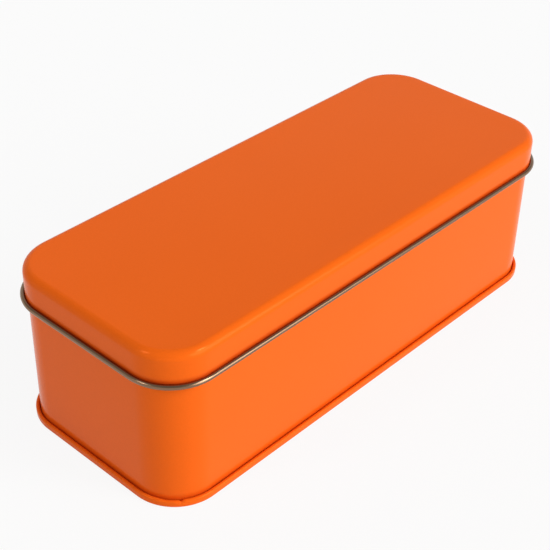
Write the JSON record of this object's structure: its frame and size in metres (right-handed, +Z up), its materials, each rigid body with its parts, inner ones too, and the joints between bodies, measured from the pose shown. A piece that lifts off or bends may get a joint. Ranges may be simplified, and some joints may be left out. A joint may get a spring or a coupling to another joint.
{
  "type": "rectangular slip-lid gift tin",
  "caption": "Long rounded-rectangle tinplate gift tin, shut: slip lid with a rolled lower edge, plain lacquered wall and a double-seamed base.",
  "frame": {"origin": "middle of the footprint, on the surface that the tin stands on", "axes": "+X along the long side, +Y across it towards the wall with the side seam, +Z up through the lid"},
  "size_m": [0.2032, 0.0832, 0.063],
  "materials": {
    "orange_lacquer": "satin orange lacquer on tinplate",
    "bare_tinplate": "bare tinplate, the inner side of the sheet, which shows on the lid's rolled edge"
  },
  "bodies": {
    "root": {"lid": "orange_lacquer", "body": "orange_lacquer", "base": "orange_lacquer"}
  },
  "joints": []
}
